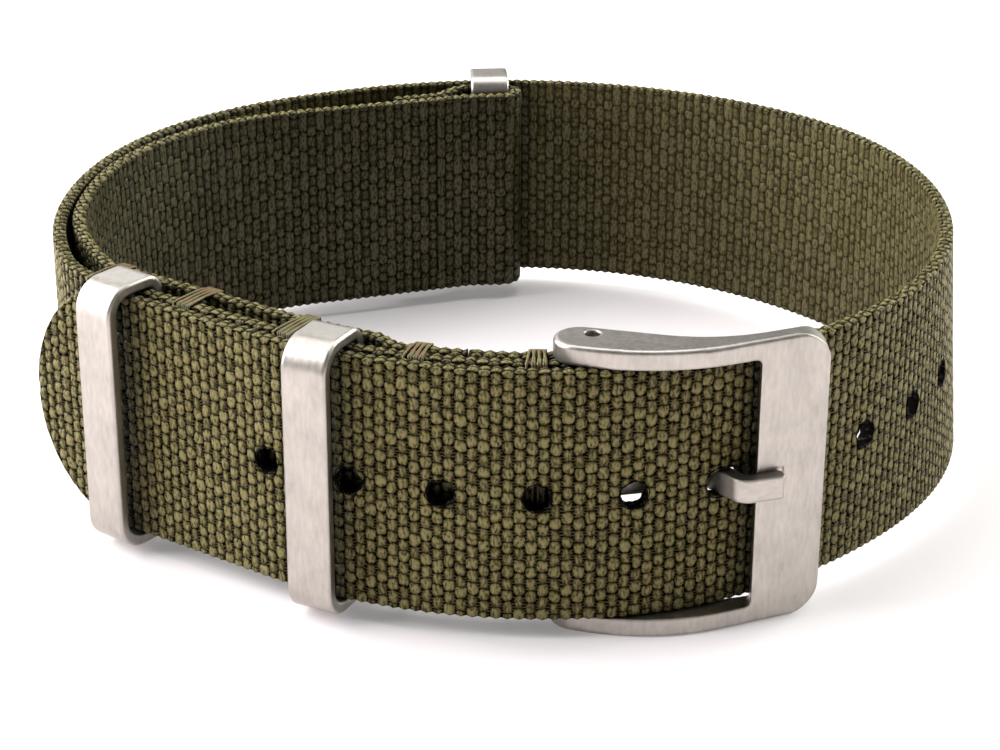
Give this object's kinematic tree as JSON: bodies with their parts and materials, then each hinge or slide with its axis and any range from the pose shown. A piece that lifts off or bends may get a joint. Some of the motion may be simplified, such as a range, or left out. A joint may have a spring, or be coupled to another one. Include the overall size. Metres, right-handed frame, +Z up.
{
  "type": "nato watch strap",
  "caption": "Woven pass-through watch strap closed in a wrist loop, with a sprung-bar tang buckle, two keepers and a slide keeper on a folded under-strap.",
  "frame": {"origin": "middle of the footprint's bounding box, on the surface that the strap stands on", "axes": "+X along the buckled front from the keepers towards the buckle, +Y from the buckled front to the wrist side and the back of the loop, +Z up across the webbing"},
  "size_m": [0.0768, 0.0754, 0.0231],
  "materials": {
    "webbing": "woven nylon, olive, coarse raised weave",
    "thread": "sewing thread, yellow olive",
    "brushed_hardware": "fine brushed stainless steel with bright rounded edges",
    "spring_bar_steel": "plain turned stainless steel"
  },
  "bodies": {
    "webbing": {"main_strap": "webbing", "under_strap": "webbing", "flap_seam": "thread", "spring_bar_tube": "spring_bar_steel", "spring_bar_spring": "spring_bar_steel", "bar_tack_buckle": "thread", "bar_tack_far_inner": "thread", "bar_tack_far_outer": "thread", "bar_tack_near_inner": "thread", "bar_tack_near_outer": "thread"},
    "frame": {"buckle_frame": "brushed_hardware"},
    "tang": {"buckle_tang": "brushed_hardware"},
    "upper_tip": {"spring_bar_tip_upper": "spring_bar_steel"},
    "lower_tip": {"spring_bar_tip_lower": "spring_bar_steel"},
    "far_keeper": {"keeper_far": "brushed_hardware"},
    "near_keeper": {"keeper_near": "brushed_hardware"},
    "back_keeper": {"slide_keeper": "brushed_hardware"}
  },
  "joints": [
    {"name": "frame_swing", "type": "hinge", "parent": "webbing", "child": "frame", "pos_m": [0.00597, -0.0341, 0.01155], "axis": [0, 0, 1], "range_deg": [-1, 1]},
    {"name": "tang_swing", "type": "hinge", "parent": "frame", "child": "tang", "pos_m": [0.00597, -0.0341, 0.01155], "axis": [0, 0, 1], "range_deg": [-1, 0]},
    {"name": "upper_tip_slide", "type": "slide", "parent": "webbing", "child": "upper_tip", "axis": [0, 0, -1], "range_m": [0, 0.00085], "stiffness_N_per_m": 2, "springref_m": -0.002, "deforming": ["spring_bar_spring"]},
    {"name": "lower_tip_slide", "type": "slide", "parent": "webbing", "child": "lower_tip", "axis": [0, 0, 1], "range_m": [0, 0.00085], "stiffness_N_per_m": 2, "springref_m": -0.002, "deforming": ["spring_bar_spring"]},
    {"name": "far_keeper_rock", "type": "hinge", "parent": "webbing", "child": "far_keeper", "pos_m": [-0.02863, -0.02028, 0.01155], "axis": [0, 0, 1], "range_deg": [-1.5, 2]},
    {"name": "near_keeper_rock", "type": "hinge", "parent": "webbing", "child": "near_keeper", "pos_m": [-0.01255, -0.03085, 0.01155], "axis": [0, 0, 1], "range_deg": [-1.5, 1.5]},
    {"name": "back_keeper_rock", "type": "hinge", "parent": "webbing", "child": "back_keeper", "pos_m": [-0.00178, 0.03223, 0.01155], "axis": [0, 0, 1], "range_deg": [-1.5, 1.5]}
  ]
}
